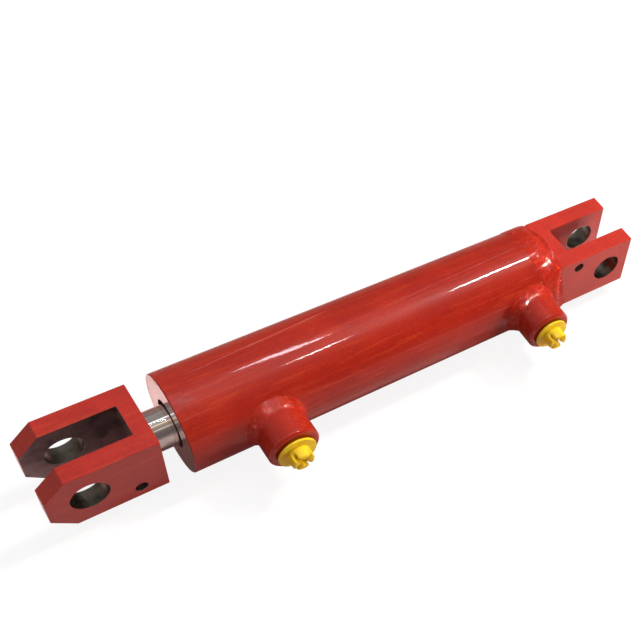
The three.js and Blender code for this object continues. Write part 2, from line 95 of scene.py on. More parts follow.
THREAD_RADIUS = 27.05 * MM  # the gland's thread in the tube
THREAD_LENGTH = 16 * MM
GLAND_MOUTH = 15.3 * MM
GLAND_LAND = 24.95 * MM
NECK_RADIUS = 18 * MM  # base weld's opening at the clevis
FIT_GAP = 0.05 * MM  # between pieces that fit one in the other
PORT_BORE = 8.3 * MM
PORT_BORE_DEPTH = 13 * MM
PORT_DRILL = 4.5 * MM
PORT_CHAMFER = 1.5 * MM
PIN_HOLE = 10.25 * MM
CLEVISES = {  # keeper: its place along x from the pin, its height and its radius
    "base": {
        "pin": 29.5 * MM, "root": 0.0, "slot": 21 * MM, "fillet": 3 * MM,
        "keeper": (-26 * MM, 13.5 * MM, 3.6 * MM),
    },
    "rod": {
        "pin": -320.5 * MM, "root": -290 * MM, "slot": 21.5 * MM, "chamfer": 12 * MM,
        "keeper": (25.5 * MM, -13 * MM, 3.4 * MM),
    },
}
TURNS = 192  # faces round a large turned piece
ON_BARREL, ON_RINGS, ON_ROD = "barrel_assembly", "piston_rings", "rod_assembly"  # the bodies pieces ride on
PAST = 1 * MM  # how far a cutter reaches past the face it opens

# ---- Mesh helpers ----


def mesh_of(vertices, faces):
    """A closed mesh whose faces point outwards."""
    mesh = bpy.data.meshes.new("mesh")
    mesh.from_pydata([tuple(v) for v in vertices], [], faces)
    shape = bmesh.new()
    shape.from_mesh(mesh)
    bmesh.ops.remove_doubles(shape, verts=shape.verts, dist=1e-7)
    bmesh.ops.recalc_face_normals(shape, faces=shape.faces)
    shape.to_mesh(mesh)
    shape.free()
    return mesh


def along_x(along, radius, turn):
    return along, radius * math.cos(turn), radius * math.sin(turn)


def along_y(centre):
    """Places a turned shape on a port's axis. Its lengths are y coordinates."""
    return lambda along, radius, turn: (centre + radius * math.cos(turn), along, radius * math.sin(turn))


def rounded(corners, steps=4):
    """A closed profile of (along, radius, fillet) corners, with each fillet drawn as an arc."""
    points = []
    for i, (a, r, fillet) in enumerate(corners):
        corner = Vector((a, r))
        if not fillet:
            points.append((a, r))
            continue
        before = Vector(corners[i - 1][:2]) - corner
        after = Vector(corners[(i + 1) % len(corners)][:2]) - corner
        half = before.angle(after) / 2
        reach = fillet / math.tan(half)
        centre = corner + (before.normalized() + after.normalized()).normalized() * fillet / math.sin(half)
        start = corner + before.normalized() * reach - centre
        end = corner + after.normalized() * reach - centre
        sweep = start.angle_signed(end)
        for k in range(steps + 1):
            spoke = Matrix.Rotation(-sweep * k / steps, 2) @ start
            points.append(tuple(centre + spoke))
    return points


def turned(profile, place=along_x, turns=TURNS):
    """Revolves a closed profile of (along, radius) points. Points on the axis become poles."""
    vertices, rings = [], []
    for along, radius in profile:
        count = 1 if radius < 1e-9 else turns
        rings.append([len(vertices) + k % count for k in range(turns)])
        vertices += [place(along, radius, 2 * math.pi * k / turns) for k in range(count)]
    faces = []
    for near, far in zip(rings, rings[1:] + rings[:1]):
        for k in range(turns):
            n = (k + 1) % turns
            corners = [near[k], near[n], far[n], far[k]]
            face = [c for i, c in enumerate(corners) if c != corners[i - 1]]
            if len(face) > 2:
                faces.append(face)
    return mesh_of(vertices, faces)


def bar_mesh(start, end, radius, place=along_x, turns=96):
    """A plain round bar, or a prism where turns is small."""
    return turned([(start, 0), (start, radius), (end, radius), (end, 0)], place, turns)


def block_mesh(outline, low, high, axis):
    """Extrudes a closed outline from low to high along an axis. Its points are the other two axes."""
    def place(u, v, w):
        return {"X": (w, u, v), "Y": (u, w, v), "Z": (u, v, w)}[axis]

    count = len(outline)
    vertices = [place(u, v, w) for w in (low, high) for u, v in outline]
    sides = [(k, (k + 1) % count, (k + 1) % count + count, k + count) for k in range(count)]
    return mesh_of(vertices, [tuple(range(count)), tuple(range(count, 2 * count))] + sides)


def rectangle(half_u, half_v):
    return [(-half_u, -half_v), (half_u, -half_v), (half_u, half_v), (-half_u, half_v)]


def placed(name, data):
    """A new object in the scene."""
    obj = bpy.data.objects.new(name, data)
    scene.collection.objects.link(obj)
    return obj


def temporary(mesh, material=None):
    """An object that only lasts until its mesh is baked."""
    if material:
        mesh.materials.append(material)
    return placed("temporary", mesh)


def baked(obj):
    """The object's mesh with its modifiers applied. The object and its cutters are removed."""
    cutters = [m.object for m in obj.modifiers if m.type == "BOOLEAN"]
    graph = bpy.context.evaluated_depsgraph_get()
    mesh = bpy.data.meshes.new_from_object(obj.evaluated_get(graph), depsgraph=graph)
    for used in [obj, *cutters]:
        bpy.data.objects.remove(used)
    return mesh


SHARP_ANGLE = 35  # degrees from which an edge is bevelled


def modify(obj, kind, **settings):
    modifier = obj.modifiers.new(kind.lower(), kind)
    for name, value in settings.items():
        setattr(modifier, name, value)


def cut(mesh, cutters, material=None, bevel=0.0, remesh=0.0, smooth=0):
    """Subtracts cutters, given as (mesh, material), then bevels, remeshes or smooths where asked."""
    body = temporary(mesh, material)
    for cutter, look in cutters:
        tool = temporary(cutter, look)
        tool.hide_render = True
        modify(body, "BOOLEAN", operation="DIFFERENCE", solver="EXACT", material_mode="TRANSFER", object=tool)
    if bevel:
        modify(body, "BEVEL", width=bevel, segments=3, limit_method="ANGLE", use_clamp_overlap=False,
               angle_limit=math.radians(SHARP_ANGLE), miter_outer="MITER_ARC")
    if remesh:
        modify(body, "REMESH", mode="VOXEL", voxel_size=remesh)
    if smooth:
        modify(body, "SMOOTH", iterations=smooth)
    return baked(body)


def joined(mesh, other):
    """The union of two closed meshes."""
    body = temporary(mesh)
    modify(body, "BOOLEAN", operation="UNION", solver="EXACT", object=temporary(other))
    return baked(body)


def piece(name, mesh, body, node, material=None, crease=32, weighted=True):
    """Puts a finished mesh in the scene, on its body and in place of its CAD node.

    Edges sharper than crease, in degrees, are shaded as sharp. The mesh may have its materials already.
    """
    if material:
        mesh.materials.append(material)
    mesh.shade_smooth()
    mesh.set_sharp_from_angle(angle=math.radians(crease))
    obj = placed(name, mesh)
    if weighted:
        modify(obj, "WEIGHTED_NORMAL", keep_sharp=True)
    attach(obj, body)
    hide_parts(node)


def smooth_noise(points, size, seed):
    """Smooth noise, mostly from -1 to 1: a sum of sine waves of about the given size in seeded directions."""
    rng = np.random.default_rng(seed)
    total = np.zeros(len(points))
    waves = 9
    for _ in range(waves):
        direction = rng.normal(size=3)
        direction *= 2 * math.pi / (size * rng.uniform(0.7, 1.5) * np.linalg.norm(direction))
        total += np.sin(points @ direction + rng.uniform(0, 2 * math.pi))
    return total / math.sqrt(waves)


# ---- Material helpers ----

BRUSHED_RED = (0.54, 0.048, 0.013)
DUST = (0.62, 0.22, 0.16)
# Paler red for the edges: partly wear, partly a painted highlight along them.
WORN_AND_HIGHLIGHT_EDGE_RED = (0.42, 0.06, 0.04)


def scaled(colour, shares):
    """The colour with each channel scaled by its own share, up to 1."""
    return tuple(min(1, c * share) for c, share in zip(colour, shares))


class Tree:
    """Short calls that add nodes, named without their ShaderNode prefix, to a material or a world."""

    def __init__(self, owner):
        owner.use_nodes = True
        self.tree = owner.node_tree
        self.tree.nodes.clear()

    def add(self, kind, inputs=(), **settings):
        node = self.tree.nodes.new("ShaderNode" + kind)
        for name, value in settings.items():
            setattr(node, name, value)
        for name, value in dict(inputs).items():
            self.put(node.inputs[name], value)
        return node

    def put(self, socket, value):
        if isinstance(value, bpy.types.NodeSocket):
            self.tree.links.new(value, socket)
        elif isinstance(value, tuple) and len(value) == 3 and socket.type == "RGBA":
            socket.default_value = (*value, 1)
        else:
            socket.default_value = value

    def math(self, operation, a, b=0.0):
        return self.add("Math", {0: a, 1: b}, operation=operation).outputs[0]

    def mix(self, factor, a, b, blend_type="MIX"):
        """A mix of two colours."""
        node = self.add("Mix", data_type="RGBA", blend_type=blend_type)
        for index, value in ((0, factor), (6, a), (7, b)):
            self.put(node.inputs[index], value)
        return node.outputs[2]

    def layer(self, base, mask, strength, colour):
        """The base colour with another one over it where the mask is 1."""
        return self.mix(self.math("MULTIPLY", mask, strength), base, colour)

    def blend(self, factor, a, b):
        """A mix of two numbers."""
        node = self.add("Mix", {0: factor, 2: a, 3: b}, data_type="FLOAT")
        return node.outputs[0]

    def noise(self, size, detail=3.0, vector=None, roughness=0.5):
        """Noise whose features are about `size` metres across."""
        inputs = {"Scale": 1 / size, "Detail": detail, "Roughness": roughness,
                  "Vector": vector or self.place()}
        return self.add("TexNoise", inputs).outputs["Fac"]

    def domes(self, spacing):
        """Scattered round bumps, 1 at their tops and 0 between them."""
        cells = self.add("TexVoronoi", {"Scale": 1 / spacing, "Vector": self.place()})
        return self.math("SUBTRACT", 1.0, self.step(cells.outputs["Distance"], 0.0, 0.45))

    def place(self):
        """The point being shaded, in the object's own metres."""
        return self.add("TexCoord").outputs["Object"]

    def stretched(self, x, y, z):
        """The place scaled along each axis: a share under 1 draws a pattern out along it."""
        mapping = self.add("Mapping", {"Vector": self.place(), "Scale": (x, y, z)})
        return mapping.outputs[0]

    def step(self, value, low, high):
        """0 below low, 1 above high and smooth between them."""
        inputs = {"Value": value, "From Min": low, "From Max": high}
        node = self.add("MapRange", inputs, interpolation_type="SMOOTHSTEP")
        return node.outputs[0]

    def bump(self, height, distance, normal=None):
        """A normal that shows height times distance as relief, over another normal where one is given."""
        inputs = {"Height": height, "Distance": distance, "Strength": 1.0}
        if normal:
            inputs["Normal"] = normal
        return self.add("Bump", inputs).outputs[0]

    def edges(self, radius):
        """1 on sharp edges, falling to 0 within radius of them."""
        smooth = self.add("Bevel", {"Radius": radius}, samples=4).outputs[0]
        true = self.add("NewGeometry").outputs["Normal"]
        dot = self.add("VectorMath", {0: smooth, 1: true}, operation="DOT_PRODUCT")
        return self.step(self.math("SUBTRACT", 1.0, dot.outputs["Value"]), 0.01, 0.15)

    def principled(self, **inputs):
        """The material's shader, with its inputs' names written with _ for each space."""
        named = {key.replace("_", " "): value for key, value in inputs.items()}
        shader = self.add("BsdfPrincipled", named)
        self.add("OutputMaterial", {"Surface": shader.outputs[0]})


def red_paint(name, colour, peel=1.0, lumps=0.0, lump_size=1.7 * MM, dull=0.0, haze=0.0, shine=0.25):
    """Gloss red enamel over steel: orange peel, colour drift, brush lines, specks, dust, and edge wear with a
    painted highlight.

    peel and lumps scale the bumps, dull adds roughness, haze a pale sheen and shine is the undercoat's gloss.
    """
    material = bpy.data.materials.new(name)
    t = Tree(material)
    deep = scaled(colour, (0.84, 0.72, 0.9))
    specked, blotched = scaled(colour, (0.5,) * 3), scaled(colour, (0.62,) * 3)
    base = t.mix(t.step(t.noise(24 * MM, 3), 0.35, 0.7), deep, colour)
    brush_lines = t.step(t.noise(2.2 * MM, 3, t.stretched(0.06, 1, 1)), 0.5, 0.7)
    base = t.layer(base, brush_lines, 0.5, BRUSHED_RED)
    base = t.layer(base, t.step(t.noise(0.9 * MM, 4), 0.42, 0.7), 0.5, specked)
    base = t.layer(base, t.step(t.noise(3.5 * MM, 4), 0.5, 0.72), 0.3, blotched)
    base = t.layer(base, t.step(t.noise(0.45 * MM, 2), 0.66, 0.8), 0.35, DUST)
    # Paler red along the edges, partly wear and partly a painted edge highlight.
    edge = t.math("MULTIPLY", t.edges(0.4 * MM), t.step(t.noise(2.2 * MM, 4), 0.35, 0.6))
    base = t.layer(base, edge, 0.35, WORN_AND_HIGHLIGHT_EDGE_RED)
    normal = t.bump(t.noise(1.6 * MM, 2), 0.016 * MM * peel)
    normal = t.bump(t.noise(0.6 * MM, 2), 0.004 * MM * peel, normal)
    normal = t.bump(t.noise(11 * MM, 2), 0.06 * MM, normal)
    gloss = normal
    if lumps:
        normal = t.bump(t.noise(2.4 * MM, 0.4), 0.05 * MM * lumps, normal)
        gloss = t.bump(t.domes(lump_size), 0.11 * MM * lumps, normal)
    t.principled(
        Base_Color=base,
        Roughness=t.blend(t.noise(6 * MM, 4), 0.28 + dull, 0.42 + dull),
        Normal=normal,
        Specular_IOR_Level=shine + haze,
        Coat_Weight=0.8,
        Coat_Roughness=0.05 + dull / 2,
        Coat_IOR=1.45,
        Coat_Normal=gloss,
        Sheen_Weight=haze,
        Sheen_Roughness=0.45,
        Sheen_Tint=(1.0, 0.72, 0.68, 1.0),
    )
    return material


def steel(name, colour, dark, roughness, grain, grain_size=0.25 * MM, depth=0.004 * MM, metallic=1.0):
    """Bare metal with machining lines. grain is the stretch of the lines along x, y and z."""
    material = bpy.data.materials.new(name)
    t = Tree(material)
    lines = t.noise(grain_size, 5, t.stretched(*grain), 0.6)
    stain = t.step(t.noise(9 * MM, 5), 0.42, 0.72)
    base = t.layer(t.mix(stain, colour, dark), lines, 0.35, dark)
    rough = t.math("ADD", t.blend(stain, roughness, roughness * 1.5), t.math("MULTIPLY", lines, 0.06))
    t.principled(Base_Color=base, Metallic=metallic, Roughness=rough, Normal=t.bump(lines, depth))
    return material


def moulded(name, colour, shade, roughness, scatter=0.0):
    """Plastic or rubber with a fine moulded grain, faint marbling and a painted highlight along its edges."""
    material = bpy.data.materials.new(name)
    t = Tree(material)
    grain = t.noise(0.5 * MM, 4)
    marbled = t.mix(t.step(t.noise(5 * MM, 4), 0.35, 0.7), colour, shade)
    t.principled(
        # The colour brightened along the edges is a painted edge highlight.
        Base_Color=t.layer(marbled, t.edges(0.5 * MM), 0.12, scaled(colour, (1.2,) * 3)),
        Roughness=t.math("ADD", t.math("MULTIPLY", grain, 0.15), roughness),
        Normal=t.bump(grain, 0.01 * MM, t.bump(t.noise(4 * MM, 2), 0.08 * MM)),
        Subsurface_Weight=scatter,
        Subsurface_Scale=1.5 * MM,
        Subsurface_Radius=(1.0, 0.7, 0.2),
    )
    return material


DEEP_RED = (0.425, 0.019, 0.0065)
BARREL_PAINT = red_paint("barrel_enamel", DEEP_RED)
BLOCK_PAINT = red_paint("clevis_enamel", (0.60, 0.026, 0.009), peel=0.8, dull=0.05, haze=0.2)
ROD_END_PAINT = red_paint("rod_clevis_enamel", (0.49, 0.016, 0.006), peel=0.8, dull=0.05, haze=0.2)
WELD_PAINT = red_paint("weld_enamel", (0.455, 0.021, 0.007), lumps=3.4, shine=0.0)
BOSS_PAINT = red_paint("boss_enamel", DEEP_RED, dull=0.03)
BAND_PAINT = red_paint("gland_rim_enamel", DEEP_RED, lumps=1.6, lump_size=1.6 * MM)
# The pink tint in this steel's colours is painted red light, bounced from the red paint around it.
GROUND_STEEL = steel("gland_ground_steel", (0.86, 0.72, 0.70), (0.70, 0.54, 0.52), 0.17, (1, 1, 1), 0.5 * MM)
BORE_STEEL = steel("bored_steel", (0.24, 0.23, 0.19), (0.09, 0.09, 0.075), 0.3, (0.15, 4, 0.15))
SLOT_STEEL = steel("milled_slot_steel", (0.40, 0.32, 0.33), (0.20, 0.15, 0.16), 0.36, (0.2, 2, 4))
INNER_STEEL = steel("turned_steel", (0.50, 0.48, 0.46), (0.30, 0.28, 0.26), 0.3, (6, 0.4, 0.4))
CHROME = steel("hard_chrome", (0.80, 0.78, 0.76), (0.68, 0.65, 0.63), 0.045, (7, 0.5, 0.5), 0.3 * MM,
               0.0006 * MM)
CAST_IRON = steel("machined_cast_iron", (0.13, 0.13, 0.125), (0.06, 0.06, 0.055), 0.5, (4, 0.6, 0.6),
                  metallic=0.7)
NITRILE = moulded("nitrile_rubber", (0.018, 0.018, 0.019), (0.030, 0.029, 0.028), 0.45)
POLYURETHANE = moulded("polyurethane", (0.03, 0.11, 0.42), (0.02, 0.08, 0.33), 0.35, 0.1)
NYLON = moulded("nylon", (0.66, 0.60, 0.46), (0.56, 0.50, 0.38), 0.4, 0.15)
YELLOW_PLASTIC = moulded("yellow_polyethylene", (0.86, 0.62, 0.02), (0.78, 0.52, 0.015), 0.3, 0.3)

# ---- Barrel and gland ----


def assign(mesh, materials, choose):
    """Gives each face the material whose index choose(centre) returns."""
    mesh.materials.clear()
    for material in materials:
        mesh.materials.append(material)
    for face in mesh.polygons:
        face.material_index = choose(face.center)


def barrel():
    """The tube, with its thread and bore and an oil way drilled at each port."""
    thread_end = TUBE_FRONT + THREAD_LENGTH
    near_port = (-12 * MM, -6 * MM, 6 * MM, 12 * MM)  # rings that keep the faces short round a drilling
    corners = [(TUBE_FRONT, THREAD_RADIUS, 0.2 * MM), (TUBE_FRONT, BARREL_RADIUS, 0.06 * MM)]
    for port in PORTS.values():
        corners += [(port + step, BARREL_RADIUS, 0) for step in near_port]
    corners += [(WELD_FRONT, BARREL_RADIUS, 0), (TUBE_REAR, CAP_RADIUS, 0), (TUBE_REAR, BORE_RADIUS, 0)]
    for port in reversed(PORTS.values()):
        corners += [(port - step, BORE_RADIUS, 0) for step in near_port[1:3]]
    corners += [(thread_end, BORE_RADIUS, 0), (thread_end, THREAD_RADIUS, 0)]
    outside, inside = -40 * MM, -20 * MM  # the drilling's ends, on either side of the tube's wall
    drills = [(bar_mesh(outside, inside, PORT_DRILL, along_y(x), 64), INNER_STEEL) for x in PORTS.values()]
    mesh = cut(turned(rounded(corners)), drills, BARREL_PAINT)
    piece("barrel", mesh, ON_BARREL, "barrel_tube")


GLAND_GROOVES = {  # start and end from the gland's face, and the radius of the bottom
    "wiper": (4.7 * MM, 9.7 * MM, 16.9 * MM),
    "seal": (14 * MM, 21 * MM, 17.1 * MM),
    "front_guide": (25.5 * MM, 34.5 * MM, 15 * MM),
    "rear_guide": (43 * MM, 54 * MM, 15 * MM),
}
GLAND_O_RING = (28 * MM, 34 * MM, 22.5 * MM)
GLAND_LAND_END = 39 * MM
GLAND_NOSE_RADIUS = 21.5 * MM
PAINTED_RIM = 0.9 * MM


def gland():
    """Flanged gland: ground face, painted rim, thread, O-ring groove, guide nose and inner grooves."""
    bore = inner_radius("gland")
    wiper_start, wiper_end, wiper_bottom = GLAND_GROOVES["wiper"]
    corners = [
        (0, GLAND_MOUTH, 0.3 * MM), (wiper_start, GLAND_MOUTH, 0),
        (wiper_start, wiper_bottom, 0), (wiper_end, wiper_bottom, 0),
        (wiper_end, bore, 0.3 * MM),
    ]
    for groove in ("seal", "front_guide", "rear_guide"):
        start, end, bottom = GLAND_GROOVES[groove]
        corners += [(start, bore, 0.2 * MM), (start, bottom, 0), (end, bottom, 0), (end, bore, 0.2 * MM)]
    nose = GLAND_END - GLAND_FACE
    thread_end = TUBE_FRONT - GLAND_FACE + THREAD_LENGTH - MM
    start, end, bottom = GLAND_O_RING
    corners += [
        (nose, bore, 0.4 * MM), (nose, GLAND_NOSE_RADIUS, 0.8 * MM),
        (GLAND_LAND_END, GLAND_NOSE_RADIUS, 0.5 * MM),
        (GLAND_LAND_END, GLAND_LAND, 0.5 * MM), (end, GLAND_LAND, 0.2 * MM),
        (end, bottom, 0), (start, bottom, 0),
        (start, GLAND_LAND, 0.2 * MM), (thread_end, GLAND_LAND, 0.4 * MM),
        (thread_end, THREAD_RADIUS - FIT_GAP, 0.4 * MM),
        (TUBE_FRONT - GLAND_FACE, THREAD_RADIUS - FIT_GAP, 0),
        (TUBE_FRONT - GLAND_FACE, BARREL_RADIUS, 0.06 * MM),
        (0.5 * MM, BARREL_RADIUS, 0.4 * MM), (0, BARREL_RADIUS - 0.5 * MM, 0.2 * MM),
    ]
    mesh = turned(rounded([(GLAND_FACE + a, r, fillet) for a, r, fillet in corners]))

    def look(centre):
        radius = math.hypot(centre.y, centre.z)
        if radius > BARREL_RADIUS - PAINTED_RIM and centre.x < TUBE_FRONT:
            return 1
        return 0 if centre.x < GLAND_FACE + 0.05 * MM else 2

    assign(mesh, [GROUND_STEEL, BAND_PAINT, INNER_STEEL], look)
    half, reach, depth = 3 * MM, 26 * MM, 4 * MM  # the crossed oil slots in the nose
    cutters = []
    for outline in (rectangle(half, reach), rectangle(reach, half)):
        cutters.append((block_mesh(outline, GLAND_END - depth, GLAND_END + PAST, "X"), INNER_STEEL))
    piece("gland_head", cut(mesh, cutters), ON_BARREL, "gland")


def ring(name, node, body, slot, material, fillet):
    """A seal, guide or wear ring with rounded edges, sized from its CAD node."""
    start, end = span(node, 0)
    low, high = inner_radius(node), outer_radius(node)
    corners = [(start, low, fillet), (start, high, fillet), (end, high, fillet), (end, low, fillet)]
    piece(name, turned(rounded(corners)), body, node, material, crease=60)


def rod_wiper():
    """Wiper with its lip reaching forwards along the rod."""
    start, end = span("rod_wiper", 0)
    lip_root = GLAND_FACE + GLAND_GROOVES["wiper"][0] + FIT_GAP
    low, high = inner_radius("rod_wiper"), outer_radius("rod_wiper")
    corners = [
        (start, low, 0.08 * MM), (start, low + 0.4 * MM, 0.15 * MM),
        (lip_root, GLAND_MOUTH - 0.2 * MM, 0.2 * MM), (lip_root, high, 0.4 * MM),
        (end, high, 0.4 * MM), (end, low, 0.4 * MM),
    ]
    piece("wiper_seal", turned(rounded(corners)), ON_BARREL, "rod_wiper", NITRILE)


# ---- Base end ----

BASE_HALF_WIDTH = span("base_clevis", 1)[1]
BASE_HALF_HEIGHT = span("base_clevis", 2)[1]
BASE_TOE = [  # where the base weld ends on the clevis: angle from +Y towards +Z in degrees, x in mm
    (0, -8), (44, -12), (90, -8.5), (136, -12), (160, -11), (172, -10.2), (188, -8.3), (203, -6.3),
    (216, -4.3), (224, -3), (240, -4), (270, -7), (316, -11), (360, -8),
]


def arc(centre, radius, start, end, steps=6):
    """Points (u, v) on an arc between two angles in degrees."""
    angles = [math.radians(start + (end - start) * k / steps) for k in range(steps + 1)]
    return [(centre[0] + radius * math.cos(a), centre[1] + radius * math.sin(a)) for a in angles]


def pin_cutters(clevis, half_width):
    """The pin hole through both ears and the keeper bolt's hole through the ear on the port side."""
    reach = half_width + 2 * MM
    offset, height, radius = clevis["keeper"]
    pin = bar_mesh(-reach, reach, PIN_HOLE, along_y(clevis["pin"]), 128)
    keeper = bar_mesh(-reach, -2 * MM, radius, along_y(clevis["pin"] + offset), 64)
    keeper.transform(Matrix.Translation((0, 0, height)))
    return [(pin, BORE_STEEL), (keeper, INNER_STEEL)]


def base_clevis():
    """Square block with a slot that has a large and a small corner radius."""
    clevis = CLEVISES["base"]
    half, slot, fillet = BASE_HALF_WIDTH, clevis["slot"] / 2, clevis["fillet"]
    far_fillet = 1.2 * MM
    outline = [(BASE_FRONT, -half), (BASE_REAR, -half), (BASE_REAR, -slot)]
    outline += arc((fillet, fillet - slot), fillet, 270, 180)
    outline += arc((far_fillet, slot - far_fillet), far_fillet, 180, 90)
    outline += [(BASE_REAR, slot), (BASE_REAR, half), (BASE_FRONT, half)]
    block = block_mesh(outline, -BASE_HALF_HEIGHT, BASE_HALF_HEIGHT, "Z")
    mesh = cut(block, pin_cutters(clevis, half), BLOCK_PAINT, bevel=0.5 * MM)
    piece("base_fork", mesh, ON_BARREL, "base_clevis")


def smooth_max(a, b, reach):
    """The larger of a and b, with their crossing filled over the given reach."""
    near = np.maximum(reach - np.abs(a - b), 0) / reach
    return np.maximum(a, b) + near * near * reach / 4


def smoothed(stations, turn, reach):
    """Values of (angle in degrees, value) stations at each turn, averaged over reach degrees to each side."""
    degrees, values = zip(*stations)
    angles, shifts = np.degrees(turn), range(-reach, reach + 1)
    return sum(np.interp(angles + shift, degrees, values, period=360) for shift in shifts) / len(shifts)


def swept(rows):
    """A closed tube-like mesh from rows of points: rows run across the section, points round it."""
    count, turns = len(rows), len(rows[0])
    vertices = np.concatenate(rows)
    faces = []
    for i in range(count):
        j = (i + 1) % count
        for k in range(turns):
            n = (k + 1) % turns
            faces.append((i * turns + k, i * turns + n, j * turns + n, j * turns + k))
    return mesh_of(vertices, faces)


def round_row(x, radius, turn):
    """Points round the X axis. x and radius are numbers, or have one value for each turn."""
    return np.stack([x * np.ones_like(turn), radius * np.cos(turn), radius * np.sin(turn)], 1)


def bead_swell(share, power):
    """How far a bead's surface may wander: 1 in the middle of its section and 0 at its edges."""
    return math.sin(math.pi * share) ** power if 0 < share < 1 else 0


def weld_piece(name, rows, body, node):
    piece(name, swept(rows), body, node, WELD_PAINT, crease=70, weighted=False)


RIPPLE = 0.012 * MM  # height of a painted bead's ripples


def base_weld():
    """A painted bead from the tube's end to the clevis, with ripples, and toes filled by the paint."""
    steps = 84
    turn = np.linspace(0, 2 * math.pi, 720, endpoint=False)
    c, s = np.cos(turn), np.sin(turn)
    squareness = 18
    block = (np.abs(c) / BASE_HALF_WIDTH) ** squareness + (np.abs(s) / BASE_HALF_HEIGHT) ** squareness
    block = block ** (-1 / squareness)  # radius of the clevis block's outside
    overlap, droop = 2.7 * MM, 2.5 * MM  # onto the barrel all round, and further low on the port side
    low_port_side = 0.5 - 0.5 * np.cos(turn - math.radians(45))
    wander = 0.4 * MM * np.sin(5 * turn + 1) + 0.25 * MM * np.sin(13 * turn)
    start = WELD_FRONT - overlap - droop * low_port_side ** 3 + wander
    toe = smoothed(BASE_TOE, turn, 5) * MM + 0.15 * MM * np.sin(23 * turn)
    end = toe + 1.2 * MM
    crown, slope = WELD_RADIUS - 0.28 * MM, 6 * MM
    sink = 0.06 * MM  # of its front edge under the barrel's surface
    cone_valley, block_valley = 3 * MM, 1.7 * MM  # where the bead's faces run into each other
    rows = []
    for k in range(steps + 1):
        share = k / steps
        x = start + (end - start) * share
        rise = np.clip((x - start) / slope, 0, 1)
        rise = rise * rise * (3 - 2 * rise)
        radius = BARREL_RADIUS - sink + (crown - BARREL_RADIUS + sink) * rise
        cone = block + (toe - x)
        radius = -smooth_max(-radius, -cone, cone_valley)
        radius = smooth_max(radius, block - 0.32 * MM, block_valley)
        centre = round_row(x, radius, turn)
        ripple = np.sin(turn * BARREL_RADIUS / (0.62 * MM) + 5 * math.cos(math.pi * (share - 0.4)))
        lumps = smooth_noise(centre, 6 * MM, 3) * 0.06 * MM + smooth_noise(centre, 2.6 * MM, 4) * 0.03 * MM
        radius = radius + bead_swell(share, 0.6) * (lumps + RIPPLE * ripple)
        radius = np.minimum(radius, WELD_RADIUS - 0.01 * MM)
        rows.append(round_row(x, radius, turn))
    inside = [
        (end - 0.3 * MM, block - 1.5 * MM), (BASE_FRONT + 0.1 * MM, NECK_RADIUS),
        (BASE_FRONT, CAP_RADIUS), (TUBE_REAR, CAP_RADIUS),
        (WELD_FRONT, BARREL_RADIUS - 0.2 * MM), (start, BARREL_RADIUS - 0.25 * MM),
    ]
    rows += [round_row(x, radius, turn) for x, radius in inside]
    weld_piece("base_weld_bead", rows, ON_BARREL, "base_weld")


def base_cap():
    """Plug that closes the bore, with a flange as wide as the tube's rebate."""
    front = span("base_cap", 0)[0]
    spigot = BORE_RADIUS - FIT_GAP
    corners = [
        (front, 0, 0), (front, spigot - MM, 0.2 * MM),
        (front + MM, spigot, 0.2 * MM), (TUBE_REAR, spigot, 0),
        (TUBE_REAR, CAP_RADIUS, 0.3 * MM), (BASE_FRONT, CAP_RADIUS, 0.3 * MM),
        (BASE_FRONT, 0, 0),
    ]
    mesh = turned(rounded(corners))
    piece("base_end_cap", mesh, ON_BARREL, "base_cap", INNER_STEEL)


# ---- Oil ports ----

THREAD_PITCH = 1.337 * MM
THREAD_DEPTH = 0.85 * MM


def barrel_y(z):
    """y of the barrel's surface on the port side, at height z."""
    return -math.sqrt(BARREL_RADIUS ** 2 - z * z)


def port_boss(name, node, x):
    """A turned boss whose foot follows the barrel, with a tapped hole and a drilled oil way.

    In its profile, a point whose along is None lies on the barrel, and the crest's points bear the thread.
    """
    crest = PORT_BORE - 0.25 * MM
    lead_in, run_out = 0.9 * MM, 1.5 * MM
    thread_start, thread_end = PORT_FACE + lead_in, PORT_FACE + PORT_BORE_DEPTH - run_out

    def place(along, radius, turn):
        z = radius * math.sin(turn)
        if along is None:
            along = barrel_y(z) - 0.02 * MM
        elif abs(radius - crest) < 1e-9:
            phase = (along / THREAD_PITCH - turn / (2 * math.pi)) % 1
            fade = min(1, (along - thread_start) / THREAD_PITCH, (thread_end - along) / THREAD_PITCH)
            radius += THREAD_DEPTH * max(0, fade) * (1 - abs(2 * phase - 1))
            z = radius * math.sin(turn)
        return x + radius * math.cos(turn), along, z

    outside = rounded([
        (PORT_FACE + 15 * MM, BOSS_RADIUS, 0),
        (PORT_FACE + PORT_CHAMFER, BOSS_RADIUS, 1.8 * MM),
        (PORT_FACE, BOSS_RADIUS - PORT_CHAMFER, 1.2 * MM),
        (PORT_FACE, crest + 1.1 * MM, 0.25 * MM), (thread_start, crest, 0),
    ])
    rows_per_pitch = 8
    rows = int((thread_end - thread_start) / (THREAD_PITCH / rows_per_pitch))
    thread = [(thread_start + (thread_end - thread_start) * k / rows, crest) for k in range(1, rows + 1)]
    floor = PORT_FACE + PORT_BORE_DEPTH
    off_thread = 1e-6
    inside = [(floor, crest + off_thread), (floor, PORT_DRILL + 0.4 * MM), (floor + 0.4 * MM, PORT_DRILL)]
    foot = [(None, radius) for radius in (PORT_DRILL, 7.5 * MM, 10 * MM, 13 * MM, BOSS_RADIUS)]
    mesh = turned(outside + thread + inside + foot, place, 160)

    def look(centre):
        return 1 if math.hypot(centre.x - x, centre.z) < crest + 0.95 * MM else 0

    assign(mesh, [BOSS_PAINT, BORE_STEEL], look)
    piece(name, mesh, ON_BARREL, node)


PORT_FOOT = [  # spread of a port's bead in mm: angle round the port from +X towards +Z in degrees
    (0, 1.8), (40, 3.6), (90, 4.8), (135, 5.2), (180, 4.5), (225, 4.2), (270, 3.6), (320, 2.0), (360, 1.8),
]


